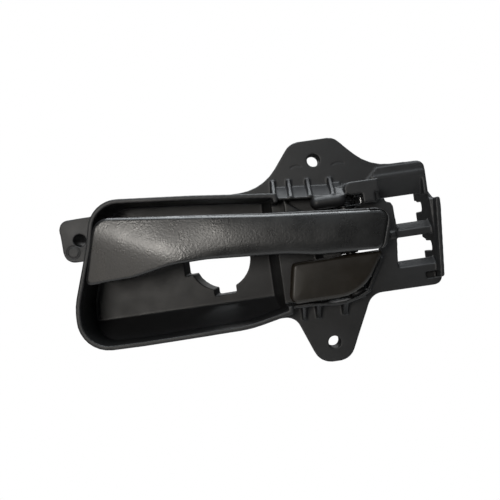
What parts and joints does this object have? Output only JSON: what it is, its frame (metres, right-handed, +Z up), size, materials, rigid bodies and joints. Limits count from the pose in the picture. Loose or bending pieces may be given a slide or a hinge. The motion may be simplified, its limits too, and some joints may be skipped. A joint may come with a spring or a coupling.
{
  "type": "interior car door release handle",
  "caption": "Interior car door handle: moulded finger cup and flange, long pull lever and lock knob turning on one upright pin, return spring, and a bracket with cable seats.",
  "frame": {"origin": "centre of the upper screw hole at the front face of the flange", "axes": "+X along the lever towards the cable bracket, +Z up, +Y into the door, so the cabin side faces -Y"},
  "size_m": [0.2007, 0.055, 0.1181],
  "materials": {
    "housing_plastic": "matt black moulded plastic with a fine texture",
    "frame_plastic": "matt black moulded plastic",
    "lever_plastic": "satin black with a fine leather grain",
    "knob_plastic": "smooth satin brown-black",
    "bush_plastic": "black acetal, slightly waxy",
    "pin_steel": "phosphated, lightly oiled",
    "spring_steel": "bright spring wire",
    "pad_rubber": "soft matt rubber",
    "pad_foam": "closed-cell foam"
  },
  "bodies": {
    "housing": {"housing": "housing_plastic", "pivot_pin": "pin_steel", "pin_retaining_clip": "spring_steel", "spring_sleeve": "bush_plastic", "lever_return_spring": "spring_steel", "lock_detent_spring": "spring_steel", "lever_rest_pad": "pad_rubber", "lever_open_stop_pad": "pad_rubber", "lock_rest_pads": "pad_rubber", "anti_rattle_pads": "pad_foam"},
    "lever": {"lever_frame": "frame_plastic", "lever_front_cover": "lever_plastic", "lever_cover_screws": "pin_steel", "lever_bush_upper": "bush_plastic", "lever_bush_lower": "bush_plastic"},
    "lock": {"lock_crank": "frame_plastic", "lock_knob": "knob_plastic", "lock_bush": "bush_plastic"}
  },
  "joints": [
    {"name": "lever_pivot", "type": "hinge", "parent": "housing", "child": "lever", "pos_m": [0.012, -0.004, -0.0388], "axis": [0, 0, 1], "range_deg": [0, 35], "stiffness_Nm_per_rad": 0.25, "springref_deg": -28.65, "deforming": ["lever_return_spring"]},
    {"name": "lock_pivot", "type": "hinge", "parent": "housing", "child": "lock", "pos_m": [0.012, -0.004, -0.0604], "axis": [0, 0, 1], "range_deg": [0, 18], "deforming": ["lock_detent_spring"]}
  ]
}
